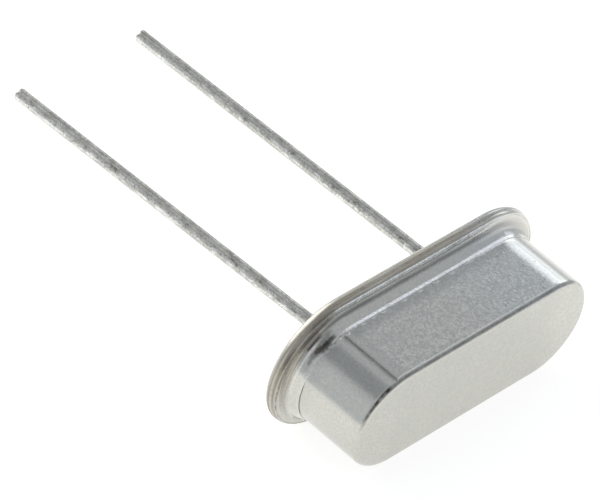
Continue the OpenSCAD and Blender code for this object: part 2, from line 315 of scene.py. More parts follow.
# Nickel plate. Places are (x, y, z) on the upright part, and noises are
# (size in millimetres, detail, roughness).
nickel = {
    "light": (0.625, 0.62, 0.57),
    "dark": (0.545, 0.54, 0.50),
    # tint of a painted cool reflection
    "coolReflection": (0.52, 0.56, 0.60),
    "tint": (0.36, 0.335, 0.27),
    "polished": (0.90, 0.87, 0.81),
    "burntAndShade": (0.20, 0.15, 0.12),
    "charred": (0.06, 0.042, 0.038),
    "speck": (0.36, 0.37, 0.39),
    # tone of the painted light on the rim
    "paintedRimLight": (0.80, 0.75, 0.68),
    # bare metal, also the tone of painted highlights and glints
    "bare": (0.97, 0.98, 0.98),
    # dirt, also the tone of painted shade in the creases
    "dirtAndShade": (0.22, 0.21, 0.19),
    "footShade": (0.3, 0.3, 0.29),
    # painted shade in the fillet
    "filletShade": (0.26, 0.26, 0.245),
    "rough": (0.3, 0.7, 0.15, 0.27),  # from and to of the fine noise, and the roughness there
    "roundRough": 0.17,
    "grainDepth": 0.0042,
    "peelDepth": 0.0008,
    "rippleDepth": 0.035,
    "noises": {
        "fine": (0.085, 3, 0.6),
        "peel": (0.3, 2, 0.5),
        "cloud": (1.6, 3, 0.55),
        "ragged": (0.16, 3, 0.7),
        "specks": (0.12, 2, 0.6),
        "dashes": (0.35, 2, 0.6),
    },
    # noise drawn out along the rim and the fillet: how z meets r across the lines
    "lines": {
        "streak": ("ADD", 0.8, 3, 0.6),
        "hair": ("SUBTRACT", 0.55, 3, 0.7),
    },
    "lineAlong": 0.35,
    "lineAcross": 14.0,
    # marks broken up into dots: spacing, radius, and between which random numbers one is kept
    "dots": {
        "pits": (0.62, 0.04, 0.5, 1.1),
        "darkDots": (0.13, 0.2, 0.0, 0.3),
        "glints": (0.10, 0.16, 0.0, 0.28),
    },
    # how noise shifts the edge of a spot or stain, and where that edge lies
    "spotRagged": (0.3, 0.7, -0.22, 0.22),
    "spotEdge": (0.5, 1.15, 1.0, 0.0),
    # spots on the collar and the crest, rubbed bright and painted as highlights: middle, reach along x, y and
    # z, how bright
    "wornHighlightSpots": [
        ((3.40, 1.84, 0.93), (0.48, 0.30, 0.105), 0.9),
        ((3.66, 1.84, 0.83), (0.22, 0.22, 0.110), 0.9),
        ((-3.10, 1.88, 0.93), (0.10, 0.30, 0.060), 0.9),
        ((3.45, 2.24, 0.46), (0.45, 0.15, 0.035), 0.9),
        ((0.35, 2.26, 0.455), (0.12, 0.10, 0.030), 0.9),
    ],
    # stains: middle, reach along x, y and z, how dark
    "stains": [
        ((-4.19, 1.54, 0.86), (0.36, 0.30, 0.115), 0.93),
        ((-3.98, 1.68, 0.84), (0.24, 0.20, 0.090), 0.70),
        ((-4.36, 1.42, 0.79), (0.24, 0.22, 0.080), 0.90),
        ((-4.50, 1.30, 0.79), (0.26, 0.28, 0.090), 0.55),
        ((-4.61, 1.17, 0.79), (0.20, 0.20, 0.060), 0.45),
        ((-4.40, 1.53, 0.58), (0.38, 0.38, 0.036), 0.92),
        ((-4.50, 1.62, 0.50), (0.50, 0.42, 0.090), 0.45),
        ((-4.25, 1.66, 0.62), (0.20, 0.22, 0.060), 0.35),
        ((-4.05, 2.12, 0.40), (0.60, 0.40, 0.10), 0.45),
        ((-5.10, 1.05, 0.40), (0.35, 0.60, 0.06), 0.45),
        ((3.25, 2.32, 0.40), (0.50, 0.12, 0.03), 0.5),
        ((2.55, 2.12, 0.52), (0.55, 0.10, 0.03), 0.5),
    ],
    "crestGaps": (0.6, 2.0, 0.45, 0.1),  # level between the crest's dashes: from x, to x, values there
    "wornDull": 0.45,
    "polishedShare": 0.7,
    "rimRough": 0.25,
    "wornRough": 0.08,
    "leastGrain": 0.06,
    "marks": {
        "lighter": [("fine", 0.3, 0.7)],
        "clouded": [("cloud", 0.35, 0.75, 0.0, 0.25)],
        "outer": [("r", 2.29, 2.32)],
        "straight": [("width", 3.2, 3.7, 1.0, 0.1)],
        # painted reflection: a cool tint on one flat side, growing towards one end
        "coolReflection": [("x", -0.5, 3.2, 0.0, 0.3), ("y", 1.6, 1.8)],
        # pits and dots, the dots mostly towards one end of the flat sides
        "pits": [("r", 1.75, 1.81), 0.3],
        "dotted": [("r", 1.8, 1.815), ("z", 1.0, 1.1), ("width", 3.2, 3.5, 1.0, 0.15),
                   ("x", -1.5, 2.5, 0.15, 1.0)],
        "darkDots": ["dotted", 0.45],
        "glints": ["dotted", 0.5],
        # heat tint on the welded rim, and further in at one round end
        "band": [("r", 2.2, 2.33), ("z", 0.41, 0.45, 1.0, 0.0), ("z", 0.11, 0.15)],
        "inward": [("r", 1.93, 2.06), ("x", -4.0, -3.2, 1.0, 0.0), ("z", 0.48, 0.78, 0.95, 0.0),
                   ("y", -1.6, 0.4, 0.2, 1.0), ("streak", 0.4, 0.58, 0.35, 1.0)],
        "rimFade": [("x", 1.5, 3.2, 1.0, 0.18)],
        "rimStreaks": [("streak", 0.3, 0.65, 0.45, 1.0)],
        # painted light along the seam and on the rim's lower edge
        "paintedRimLight": [("z", "near", can["baseSheet"], 0.02, 0.02), "outer", 0.5],
        "lowerEdge": [("z", 0.09, 0.13, 0.6, 0.0), "outer"],
        # dark lines, dots and scratches, and painted shade on the crest at one round end
        "seamDots": [("z", "near", can["baseSheet"], 0.02, 0.08), "outer",
                     ("ragged", 0.52, 0.66, 0.0, 0.3)],
        "underSeam": [("z", "near", 0.21, 0.02, 0.04), "outer",
                      ("streak", 0.3, 0.6, 0.05, 0.22)],
        "overSeam": [("z", "near", 0.35, 0.03, 0.03), "outer",
                     ("streak", 0.3, 0.6, 0.15, 0.45)],
        # painted shade on the crest at one round end
        "crestShade": [("r", "near", 2.295, 0.008, 0.014), ("z", 0.41, 0.43),
                      ("x", -5.2, -4.6, 1.0, 0.0), ("ragged", 0.42, 0.56, 0.1, 0.85)],
        "scratched": [("hair", 0.47, 0.58), ("x", -4.2, -3.3, 0.55, 0.0), ("r", 1.94, 2.0),
                      ("z", 0.52, 0.70, 1.0, 0.0), ("z", 0.38, 0.42), ("y", -1.4, 0.8, 0.15, 1.0)],
        "broken": [("r", "near", 2.275, 0.014, 0.02), ("z", 0.41, 0.43), ("x", 0.8, 1.8),
                   ("x", 3.6, 4.4, 1.0, 0.0), ("y", 0.0, 0.5), ("dashes", 0.46, 0.56, 0.0, 0.75)],
        "stainStreaks": [("streak", 0.3, 0.6, 0.88, 1.0)],
        # painted shade: the wall is darker at its foot, above the collar
        "footShade": [("z", 0.97, 0.985), ("z", 1.12, 1.5, 0.42, 0.06), ("r", 1.825, 1.84, 1.0, 0.0),
                      ("width", 3.2, 3.6, 1.0, 0.3)],
        # burnished, with painted highlights on the crest and the collar: the flange's crest, the collar at
        # the foot of the wall, drawing lines round one end's fillet, and the other end's fillet all over
        "crest": [("z", "near", 0.457, 0.010, 0.012), ("r", 2.15, 2.21, 0.25, 1.0), ("r", 2.13, 2.15),
                  ("dashes", 0.40, 0.58, "crestGap", 1.0), "straight"],
        "collar": [("z", "near", 0.925, 0.035, 0.025), ("r", 1.828, 1.84),
                   ("dashes", 0.3, 0.55, 0.6, 1.0), "straight"],
        "wideCollar": [("z", "near", 0.925, 0.055, 0.03), ("r", 1.815, 1.822), ("x", 1.2, 3.0),
                       ("y", 0.0, 0.5), "straight"],
        "drawn": [("z", "near", 0.655, 0.017, 0.014), ("r", 1.88, 1.92),
                  ("x", -4.15, -3.85, 0.75, 0.0), ("y", -0.3, 0.7), ("dashes", 0.35, 0.55, 0.5, 1.0)],
        "fillet": [("z", "near", 0.54, 0.09, 0.12), ("r", 1.9, 1.95), ("x", 2.1, 3.4),
                   ("hair", 0.38, 0.6, 0.35, 0.95), ("y", 0.0, 0.8)],
        # dirt along the edge of the top, painted shade in the creases beside the round ends and at the wall's
        # foot, then the scorched edge at one end and painted shade in the fillet
        "topEdge": [("z", "near", can["canHeight"] - 0.085, 0.02, 0.035), ("r", 1.66, 1.7),
                    ("dashes", 0.35, 0.65, 0.2, 0.5), ("y", 0.2, 1.0), ("x", -3.5, -3.1, 2.0, 1.0)],
        # painted shade along the crease where a flat side meets a round end
        "crease": [("width", "near", 3.588, 0.018, 0.02), ("r", 1.80, 1.815),
                   ("z", 0.95, 1.1, 0.0, 0.95), ("dashes", 0.3, 0.6, 0.75, 1.0),
                   ("x", -1.0, 1.0, 1.0, 0.1)],
        # painted shade in the crevice at the wall's foot
        "creviceShade": [("z", "near", 0.972, 0.006, 0.014), ("r", 1.80, 1.815),
                    ("y", "near", -0.25, 0.45, 0.5), ("x", -3.4, -3.0, 0.95, 0.0)],
        "scorch": [("z", "near", can["canHeight"] - 0.10, 0.012, 0.035), ("r", 1.70, 1.75),
                   ("x", -3.95, -3.75, 0.9, 0.0), ("x", -4.75, -4.4), ("y", 0.6, 0.9),
                   ("dashes", 0.35, 0.55, 0.35, 1.0)],
        # painted shade in the fillet's corner
        "corner": [("z", "near", 0.527, 0.02, 0.035), ("r", 2.14, 2.18, 1.0, 0.0),
                   ("streak", 0.3, 0.65, 0.5, 0.95), ("width", 3.2, 4.2, 1.0, 0.2),
                   ("x", 1.8, 3.0, 1.0, 0.3)],
        # how the surface catches light
        "flatSides": [("pastSpine", -0.1, 0.3, 1.0, 0.0)],
        "duller": [("x", 2.8, 3.5), ("z", 0.84, 0.9, 0.3, 0.0), ("z", 0.44, 0.48)],
        "sparkle": [("x", -1.0, 3.0, 1.0, 1.6)],
        "ripple": [("x", 1.5, 3.0, 1.0, 0.3)],
    },
    # marks that count as one
    "joined": {
        "rim": ("band", "inward"),
        "darkLinesAndShade": ("seamDots", "underSeam", "overSeam", "crestShade", "scratched", "broken"),
        "burnishedAndHighlit": ("crest", "collar", "wideCollar"),
        "polished": ("fillet", "drawn"),
        "dirtAndShade": ("topEdge", "crease", "creviceShade"),
    },
    # coats of colour over the plain plate, in order: the mark and its tone
    "coats": [
        ("clouded", "dark"), ("coolReflection", "coolReflection"), ("pits", "burntAndShade"), ("darkDots", "speck"),
        ("glints", "bare"), ("tinted", "tint"), ("paintedRimLight", "paintedRimLight"),
        ("lowerEdge", "paintedRimLight"), ("darkLinesAndShade", "burntAndShade"), ("stained", "charred"),
        ("footShade", "footShade"), ("burnishedAndHighlit", "bare"), ("polished", "polished"),
        ("dirtAndShade", "dirtAndShade"), ("scorch", "charred"), ("corner", "filletShade"),
    ],
}


def spots(tree, fields, rows):
    # Round spots or stains, each with its reach along every axis and an uneven edge.
    uneven = ramp(tree, fields["ragged"], *nickel["spotRagged"])
    levels = []
    for middle, reach, level in rows:
        away = vectorCalc(tree, "DIVIDE", vectorCalc(tree, "SUBTRACT", fields["place"], middle), reach)
        distance = calc(tree, "ADD", vectorCalc(tree, "LENGTH", away), uneven)
        levels.append(times(tree, ramp(tree, distance, *nickel["spotEdge"]), level))
    return largest(tree, *levels)


def nickelFields(tree):
    # What the plate's looks depend on: where a point lies, noises, and how strong each mark is.
    fields = partSpace(tree)
    place = fields["place"]
    for name, facts in nickel["noises"].items():
        fields[name] = grain(tree, place, *facts)
    for name, (meet, *facts) in nickel["lines"].items():
        across = calc(tree, meet, fields["z"], fields["r"])
        line = tree.nodes.new("ShaderNodeCombineXYZ")
        feed(tree, line.inputs[0], times(tree, fields["x"], nickel["lineAlong"]))
        feed(tree, line.inputs[1], times(tree, fields["y"], nickel["lineAlong"]))
        feed(tree, line.inputs[2], times(tree, across, nickel["lineAcross"]))
        fields[name] = grain(tree, line.outputs[0], *facts)
    fields["crestGap"] = ramp(tree, fields["x"], *nickel["crestGaps"])
    fields["pastSpine"] = calc(tree, "SUBTRACT", fields["width"], can["spine"] / 2)
    for name, rows in nickel["marks"].items():
        fields[name] = mark(tree, fields, rows)
    for name, facts in nickel["dots"].items():
        fields[name] = times(tree, fields[name], scattered(tree, place, *facts))
    for name, parts in nickel["joined"].items():
        fields[name] = largest(tree, *[fields[part] for part in parts])
    fields["rim"] = times(tree, fields["rim"], fields["rimFade"])
    fields["tinted"] = times(tree, fields["rim"], fields["rimStreaks"])
    fields["stained"] = times(tree, spots(tree, fields, nickel["stains"]), fields["stainStreaks"])
    fields["burnishedAndHighlit"] = largest(tree, fields["burnishedAndHighlit"], spots(tree, fields, nickel["wornHighlightSpots"]))
    return fields


def nickelRelief(tree, fields, worn):
    # Roughness and layers of relief. The drawn round ends are smoother than the flat sides.
    flat = fields["flatSides"]
    rough = ramp(tree, fields["fine"], *nickel["rough"])
    more = times(tree, calc(tree, "SUBTRACT", rough, nickel["roundRough"]), flat)
    rough = calc(tree, "ADD", nickel["roundRough"], more)
    rough = calc(tree, "ADD", rough, times(tree, fields["rim"], nickel["rimRough"]))
    rough = calc(tree, "ADD", rough, times(tree, worn, nickel["wornRough"]))
    rough = calc(tree, "ADD", rough, fields["duller"])
    flat = calc(tree, "MAXIMUM", flat, nickel["leastGrain"])
    ripple = times(tree, calc(tree, "SUBTRACT", fields["specks"], 0.5), worn, fields["ripple"])
    return rough, [(times(tree, fields["peel"], flat), nickel["peelDepth"]),
                   (times(tree, fields["fine"], flat, fields["sparkle"]), nickel["grainDepth"]),
                   (ripple, nickel["rippleDepth"])]


def makeNickel(name):
    material, tree, shader = newFinish(name)
    fields = nickelFields(tree)
    colour = blend(tree, fields["lighter"], nickel["dark"], nickel["light"])
    for markName, tone in nickel["coats"]:
        colour = blend(tree, fields[markName], colour, nickel[tone])
    worn = largest(tree, fields["burnishedAndHighlit"], times(tree, fields["polished"], nickel["polishedShare"]))
    metal = calc(tree, "SUBTRACT", 1.0, times(tree, worn, nickel["wornDull"]))
    tree.links.new(metal, shader.inputs["Metallic"])
    surface(tree, shader, colour, *nickelRelief(tree, fields, worn))
    return material


canNickel = makeNickel("can_nickel")
baseNickel = makeNickel("base_nickel")
print("finished the nickel")

tin = {
    "light": (0.73, 0.715, 0.655),
    "dark": (0.48, 0.472, 0.425),
    # tones of the painted shade on one side of a lead and of the painted highlight on the other
    "shadeLight": (0.43, 0.422, 0.39),
    "shadeDark": (0.225, 0.222, 0.205),
    "paintedHighlight": (0.90, 0.89, 0.86),
    "highlightDark": (0.52, 0.51, 0.48),
    "pit": (0.16, 0.155, 0.14),
    "shadedFacing": (0.0, 0.71, 0.70),  # which way the side of a lead with painted shade faces in the frame
    "sideUneven": 0.7,
    "rough": (0.35, 0.65, 0.38, 0.14),  # from and to of the speck noise, and the roughness there
    "dullRough": 0.12,
    "shadeLevel": 0.85,
    "highlightLevel": 0.9,
    "relief": {"cloud": 0.006, "drawn": 0.0015, "speck": 0.003},
    "noises": {
        "speck": (0.06, 3, 0.65),
        "ragged": (0.18, 3, 0.7, (1, 1, 0.5)),
        "drawn": (0.05, 2, 0.6, (1, 1, 0.06)),
        "cloud": (0.5, 2, 0.5),
    },
    # "side" is 1 where a lead faces the way of its painted shade and -1 where it faces away, towards its
    # painted highlight
    "marks": {
        "lighter": [("speck", 0.36, 0.6)],
        "drawnDark": [("drawn", 0.42, 0.62, 0.35, 0.0)],
        # painted shade on one side of each lead
        "shadedSide": [("side", -0.35, 0.5)],
        "shadeLighter": [("mottled", 0.42, 0.58)],
        # a painted highlight on the other side of each lead
        "paintedHighlight": [("side", -0.55, -0.3, 1.0, 0.0), ("side", -0.92, -0.72, 0.25, 1.0)],
        # how bright the painted highlight is, more so near the tip
        "gleam": [("ragged", 0.42, 0.66)],
        "nearTip": [("z", -13.0, -11.0, 0.55, 0.0)],
        "pits": [("side", "near", 0.0, 0.25, 0.15), ("ragged", 0.34, 0.44, 0.75, 0.0)],
        "glints": [("side", "near", -0.22, 0.16, 0.12), ("ragged", 0.54, 0.62, 0.0, 0.75)],
        "flecks": [("side", "near", -0.35, 0.45, 0.2), ("speck", 0.38, 0.44, 0.55, 0.0)],
    },
}


def makeTin():
    # Hot-dipped tin: drawn lines and fine specks, with painted shade on one side of each lead, which is also
    # rougher, and a painted highlight on the other.
    material, tree, shader = newFinish("tinned_wire")
    shader.inputs["Metallic"].default_value = 1.0
    fields = partSpace(tree)
    for name, facts in tin["noises"].items():
        fields[name] = grain(tree, fields["place"], *facts)
    speck = fields["speck"]
    coords = tree.nodes.new("ShaderNodeTexCoord")
    facing = vectorCalc(tree, "DOT_PRODUCT", coords.outputs["Normal"], tin["shadedFacing"])
    uneven = times(tree, calc(tree, "SUBTRACT", speck, 0.5), tin["sideUneven"])
    fields["side"] = calc(tree, "ADD", facing, uneven)
    fields["mottled"] = calc(tree, "ADD", times(tree, fields["ragged"], 0.5), times(tree, speck, 0.5))
    level = {name: mark(tree, fields, rows) for name, rows in tin["marks"].items()}
    colour = blend(tree, level["lighter"], tin["dark"], tin["light"])
    colour = blend(tree, level["drawnDark"], colour, tin["dark"])
    # painted shade on one side of each lead, then a painted highlight on the other
    shadeTone = blend(tree, level["shadeLighter"], tin["shadeDark"], tin["shadeLight"])
    colour = blend(tree, times(tree, level["shadedSide"], tin["shadeLevel"]), colour, shadeTone)
    gleam = calc(tree, "ADD", level["gleam"], level["nearTip"])
    highlightTone = blend(tree, gleam, tin["highlightDark"], tin["paintedHighlight"])
    colour = blend(tree, times(tree, level["paintedHighlight"], tin["highlightLevel"]), colour, highlightTone)
    for name, tone in (("pits", "pit"), ("glints", "paintedHighlight"), ("flecks", "pit")):
        colour = blend(tree, level[name], colour, tin[tone])
    rough = ramp(tree, speck, *tin["rough"])
    rough = calc(tree, "ADD", rough, times(tree, level["shadedSide"], tin["dullRough"]))
    surface(tree, shader, colour, rough, [(fields[name], depth) for name, depth in tin["relief"].items()])
    return material


tinnedWire = makeTin()
print("finished the tin")

cover = {
    "rimStep": 0.02,
    "rimRadius": 0.1,
    "crestLand": 0.01,
    "taper": 24,
    "skirtZ": 0.865,
    "collarZ": 0.965,
    "collarOut": 0.03,
    "collarTaper": 12,
    "collarEdge": 0.015,
    "collarEdgeStart": 80,
    # how the wall runs out on to the collar: how far aside of and above their corner
    "wallFoot": ((0.0, 0.02), (0.003, 0.006), (0.009, 0.0)),
    "innerFilletMore": 0.08,
    "innerFilletCut": 0.04,
    "innerFilletStart": 230,
    "innerSkirtRise": 0.12,
    "innerCorner": 0.06,
    # uneven collar: lumps per millimetre along the rim, their share and their seed
    "uneven": 0.009,
    "unevenReach": 0.03,
    "lumps": ((4.5, 1.0, 12), (11, 0.7, 3)),
    # fine ridges along the fillet
    "ridgeDepth": 0.0035,
    "ridgeWidth": 0.07,
    "ridgePerMm": 0.35,
    "ridgeSeed": 12,
    "ridgeMargins": (0.004, 0.03),
    "ridgeFadeFrom": 88,
    "ridgeFadeOver": 12,
    "ridgeLeast": 0.3,
    # the crease where a flat side meets a round end
    "creaseAngle": 75,
    "creaseHalf": 0.7,
    "creaseDepth": 0.012,
    "creaseRight": 0.3,
    "creaseFade": 0.125,
    "creaseBelowTop": 0.15,
    "creaseStations": (-0.9, -0.6, -0.3, 0, 0.3, 0.6, 0.9),
    # rows of faces
    "shadeHold": 0.012,
    "arcSteps": 180,
    "runSteps": 90,
    "topRows": 8,
    "topEdgeRows": 24,
    "wallRows": 14,
    "collarRows": 6,
    "skirtRows": 14,
    "filletRows": 44,
    "rimRows": 16,
    "innerRows": 6,
    "measuredRow": 20,
}


def coverOutline():
    # From the middle of the top, down the wall and out to the rim, then back inside.
    wall = can["canWidth"] / 2
    weld = can["baseSheet"]
    crest = weld + can["flangeSheet"]
    rim = can["flangeWidth"] / 2 - cover["rimStep"]
    bend = cover["rimRadius"]
    slope = math.radians(cover["taper"])
    top = can["canHeight"]
    edge = can["topRadius"]
    chamfer = can["chamfer"]
    sheet = can["sheet"]
    skirtZ = cover["skirtZ"]
    collarZ = cover["collarZ"]
    lip = cover["collarEdge"]
    collar = wall + cover["collarOut"]
    skirt = collar + (collarZ - skirtZ) * math.tan(math.radians(cover["collarTaper"]))
    # the fillet is the one that the skirt's cone and the crest both run into
    bendX = rim - bend - cover["crestLand"]
    reach = bendX - skirt - (skirtZ - crest) * math.tan(slope)
    fillet = reach / (math.cos(slope) - (1 - math.sin(slope)) * math.tan(slope))
    bendZ = crest + fillet
    tangent = (bendX - fillet * math.cos(slope), bendZ - fillet * math.sin(slope))
    hold = cover["shadeHold"]  # extra rows beside each bend keep the shading of the flats flat
    foot = [(wall + aside, collarZ + above) for aside, above in cover["wallFoot"]]
    out = [(0, top)] + run((0, top), (wall - edge, top), cover["topRows"]) + [(wall - edge - hold, top)]
    out += arc((wall - edge, top - edge), edge, 90, 0, cover["topEdgeRows"])
    out += [(wall, top - edge - hold)] + run((wall, top - edge), foot[0], cover["wallRows"]) + foot
    out += arc((collar - lip, collarZ - lip), lip, cover["collarEdgeStart"], cover["collarTaper"],
               cover["collarRows"])
    out += run((collar, collarZ - lip), (skirt, skirtZ), cover["collarRows"]) + [(skirt, skirtZ)]
    out += run((skirt, skirtZ), tangent, cover["skirtRows"])
    out += arc((bendX, bendZ), fillet, 180 + cover["taper"], 270, cover["filletRows"])
    out += arc((rim - bend, crest - bend), bend, 90, 0, cover["rimRows"])
    out += [(rim, weld + chamfer), (rim - chamfer, weld)]
    # inside, the sheet's inner fillet is cut off level with the seam
    innerWall = wall - sheet
    innerSkirt = skirt - sheet
    innerFillet = fillet + cover["innerFilletMore"]
    cut = innerFillet - cover["innerFilletCut"]
    middle = innerSkirt + innerFillet
    corner = cover["innerCorner"]
    out += [(middle - math.sqrt(innerFillet ** 2 - cut ** 2), weld)]
    out += arc((middle, weld + cut), innerFillet, cover["innerFilletStart"], 180, cover["innerRows"])
    out += [(innerSkirt, skirtZ - sheet), (innerWall, skirtZ - sheet + cover["innerSkirtRise"])]
    out += [(innerWall, top - sheet - corner), (innerWall - corner, top - sheet), (0, top - sheet)]
    return out


def workedCover(rings, stations, outline):
    # What the press leaves on the drawn sheet: a crease where each flat side meets a round
    # end, an uneven collar at the foot, and fine ridges that run along the fillet.
    wall = can["canWidth"] / 2
    crest = can["baseSheet"] + can["flangeSheet"]
    row = cover["measuredRow"]
    ridgesFrom = crest + cover["ridgeMargins"][0]
    ridgesTo = cover["skirtZ"] - cover["ridgeMargins"][1]
    diagonal = 0.7  # turns r - z into a length across the fillet
    same = 0.002
    walked = 0.0
    for i, ((x, out), ring) in enumerate(zip(stations, rings)):
        if i:
            walked += (rings[i][row].co - rings[i - 1][row].co).length
        angle = math.degrees(math.asin(min(1.0, abs(out.y))))
        crease = max(0.0, 1 - abs(angle - cover["creaseAngle"]) / cover["creaseHalf"])
        crease *= cover["creaseDepth"] * (1.0 if x < 0 else cover["creaseRight"])
        ridges = (cover["ridgeFadeFrom"] - angle) / cover["ridgeFadeOver"]
        ridges = cover["ridgeDepth"] * min(1.0, max(cover["ridgeLeast"], ridges))
        for j in range(1, len(outline) - 1):
            r, z = outline[j]
            if z < crest - same:
                break
            if abs(r - wall) < same / 2 and z < can["canHeight"] - cover["creaseBelowTop"]:
                ring[j].co -= out * crease * min(1.0, (z - cover["collarZ"]) / cover["creaseFade"])
            elif abs(z - cover["collarZ"]) < cover["unevenReach"] and r > wall:
                lump = sum(share * noise.noise((walked * each, seed, 0))
                           for each, share, seed in cover["lumps"])
                ring[j].co += (out + Vector((0, 0, 1))) * cover["uneven"] * lump
            elif ridgesFrom < z < ridgesTo:
                along = Vector((outline[j + 1][0] - outline[j - 1][0], outline[j + 1][1] - outline[j - 1][1]))
                along.normalize()
                across = (r - z) * diagonal / cover["ridgeWidth"]
                depth = ridges * noise.noise((walked * cover["ridgePerMm"], across, cover["ridgeSeed"]))
                ring[j].co += out * -along.y * depth + Vector((0, 0, along.x * depth))


def buildCover():
    bm = bmesh.new()
    creases = [side * cover["creaseAngle"] + step for side in (-1, 1) for step in cover["creaseStations"]]
    stations = ovalStations(can["spine"], cover["arcSteps"], cover["runSteps"], extraAngles=creases)
    outline = coverOutline()
    rings = sweepOval(bm, outline, stations)
    workedCover(rings, stations, outline)
    return finishPiece("cover_shell", bm, canNickel, ["cover"])


buildCover()

base = {
    "edge": 0.24,
    "recess": 0.26,
    "raised": 0.54,
    "spigot": 1.52,
    "mouth": 1.24,
    "press": 0.08,
    "bore": 0.65,
    "collar": 0.79,
    "collarTop": 0.92,
    "boreLip": 0.03,
    "collarChamfer": 0.02,
    "pressRows": 8,
    "cornerRows": 6,
    "seatRows": 6,
    "edgeRows": 20,
    "lipRows": 4,
    "boreRows": 5,
    "holeSteps": 96,
}


def baseOutline():
    # From the recess down to the seat, round the edge and over on to the raised middle.
    rim = can["flangeWidth"] / 2
    seam = can["baseSheet"]
    press = base["press"]
    mouth = base["mouth"]
    spigot = base["spigot"]
    edge = base["edge"]
    out = arc((mouth - press, base["recess"] - press), press, 90, 0, base["pressRows"])
    out += arc((mouth + press, press), press, 180, 270, base["pressRows"])
    out += run((mouth + press, 0), (rim - edge, 0), base["seatRows"])
    out += arc((rim - edge, edge), edge, 270, 360, base["edgeRows"])
    out += [(rim - can["chamfer"], seam)]
    out += arc((spigot + press, seam + press), press, 270, 180, base["cornerRows"])
    out += arc((spigot - press, base["raised"] - press), press, 0, 90, base["pressRows"])
    return out


def eyeletOutline():
    # From the underside's hole up the bore, over the rim and down the collar.
    lip = base["boreLip"]
    bore = base["bore"]
    collar = base["collar"]
    top = base["collarTop"]
    press = base["press"]
    chamfer = base["collarChamfer"]
    out = arc((bore + lip, base["recess"] + lip), lip, 270, 180, base["lipRows"])
    out += run((bore, base["recess"] + lip), (bore, top - chamfer), base["boreRows"])
    out += [(bore, top - chamfer), (bore + chamfer, top)]
    out += [(collar - chamfer, top), (collar, top - chamfer)]
    out += arc((collar + press, base["raised"] + press), press, 180, 270, base["cornerRows"])
    return out


def fillFlat(bm, loops):
    # Fills the flat between an outer loop and the holes in it.
    edges = []
    for loop in loops:
        edges += [bm.edges.get((a, b)) or bm.edges.new((a, b)) for a, b in zip(loop, loop[1:] + loop[:1])]
    bmesh.ops.triangle_fill(bm, use_beauty=True, edges=edges)


def buildBase():
    bm = bmesh.new()
    rings = sweepOval(bm, baseOutline(), ovalStations(can["spine"], cover["arcSteps"], cover["runSteps"]))
    eyelets = [turned(bm, eyeletOutline(), side * can["pitch"] / 2, base["holeSteps"]) for side in (-1, 1)]
    for end in (0, -1):  # the recess, then the raised middle
        fillFlat(bm, [[ring[end] for ring in form] for form in [rings] + eyelets])
    return finishPiece("base_shell", bm, baseNickel, ["base"])


buildBase()

# What the weld squeezed out: flash along the seam, and a burr on the flange's crest.
flash = {
    "arcSteps": 300,
    "runSteps": 480,
    "walk": (3.1, 5, 3),  # how fast the noise runs along the straights and round the ends
    "lumps": ((2.3, 1.0), (9.0, 0.6)),
    "jitter": 0.5,
    "lift": (6.0, 0.5),
    "swell": (12.0, 0.4),
    "neck": 0.7,
    "seam": {"seed": 4, "root": (2.27, 0.28), "tip": (2.358, 0.28), "ragged": 0.01, "half": 0.026},
    "crest": {"seed": 9, "root": (2.275, 0.425), "tip": (2.295, 0.472), "ragged": 0.012, "half": 0.01},
}


def lumps(place, *layers):
    # Noise in layers of (lumps per unit, share).
    return sum(share * noise.noise(place * each) for each, share in layers)


def buildFlash(name, facts):
    # A ragged line of metal, from its root to an uneven tip.
    rng = random.Random(facts["seed"])
    root = Vector(facts["root"])
    tip = Vector(facts["tip"])
    ahead = (tip - root).normalized()
    across = Vector((-ahead.y, ahead.x))
    alongX, endX, endY = flash["walk"]
    bm = bmesh.new()
    rings = []
    for x, out in ovalStations(can["spine"], flash["arcSteps"], flash["runSteps"]):
        place = Vector((x * alongX, out.x * endX + out.y * endY, facts["seed"]))
        longer = lumps(place, *flash["lumps"]) + rng.uniform(-flash["jitter"], flash["jitter"])
        end = tip + (ahead * longer + across * lumps(place, flash["lift"])) * facts["ragged"]
        side = across * facts["half"] * (1 + lumps(place, flash["swell"]))
        neck = root.lerp(end, flash["neck"])
        outline = [root - side, neck - side, end, neck + side, root + side]
        rings.append([bm.verts.new((x + out.x * p.x, out.y * p.x, p.y)) for p in outline])
    joinRings(bm, rings, closed=True)
    return finishPiece(name, bm, baseNickel)


buildFlash("weld_flash", flash["seam"])
buildFlash("crest_burr", flash["crest"])

lead = {
    "radius": 0.215,
    "tin": 0.01,
    "tinEdge": 0.004,
    "top": 0.06,
    "tip": 0.06,
    "headZ": 1.02,
    "head": 0.43,
    "headThick": 0.1,
    "headEdge": 0.03,
    "headMiddle": 0.2,
    "steps": 40,
    "faceRows": 10,
    "tipRows": 6,
    "legRows": 220,
    "shankRows": 6,
    "edgeRows": 4,
    "sharpOver": 50,
    # dipped tin is never quite even: share of the radius, and lumps per millimetre
    "uneven": 0.02,
    "unevenEach": 3,
    "unevenAlong": 0.6,
    "evenAbove": 0.01,
    # the nick that the cutter leaves across the cut end: which way it is from its middle line
    "nickAcross": (0.75, 0.66),
    "nickHalf": 0.065,
    "nickDepth": 0.048,
    "nickReach": 0.14,
    "left": {"length": 13.7, "lean": (-1.5, 1.15), "seed": 2, "nickAt": 0.08},
    "right": {"length": 13.4, "lean": (-0.6, 1.4), "seed": 7, "nickAt": 0.05},
}


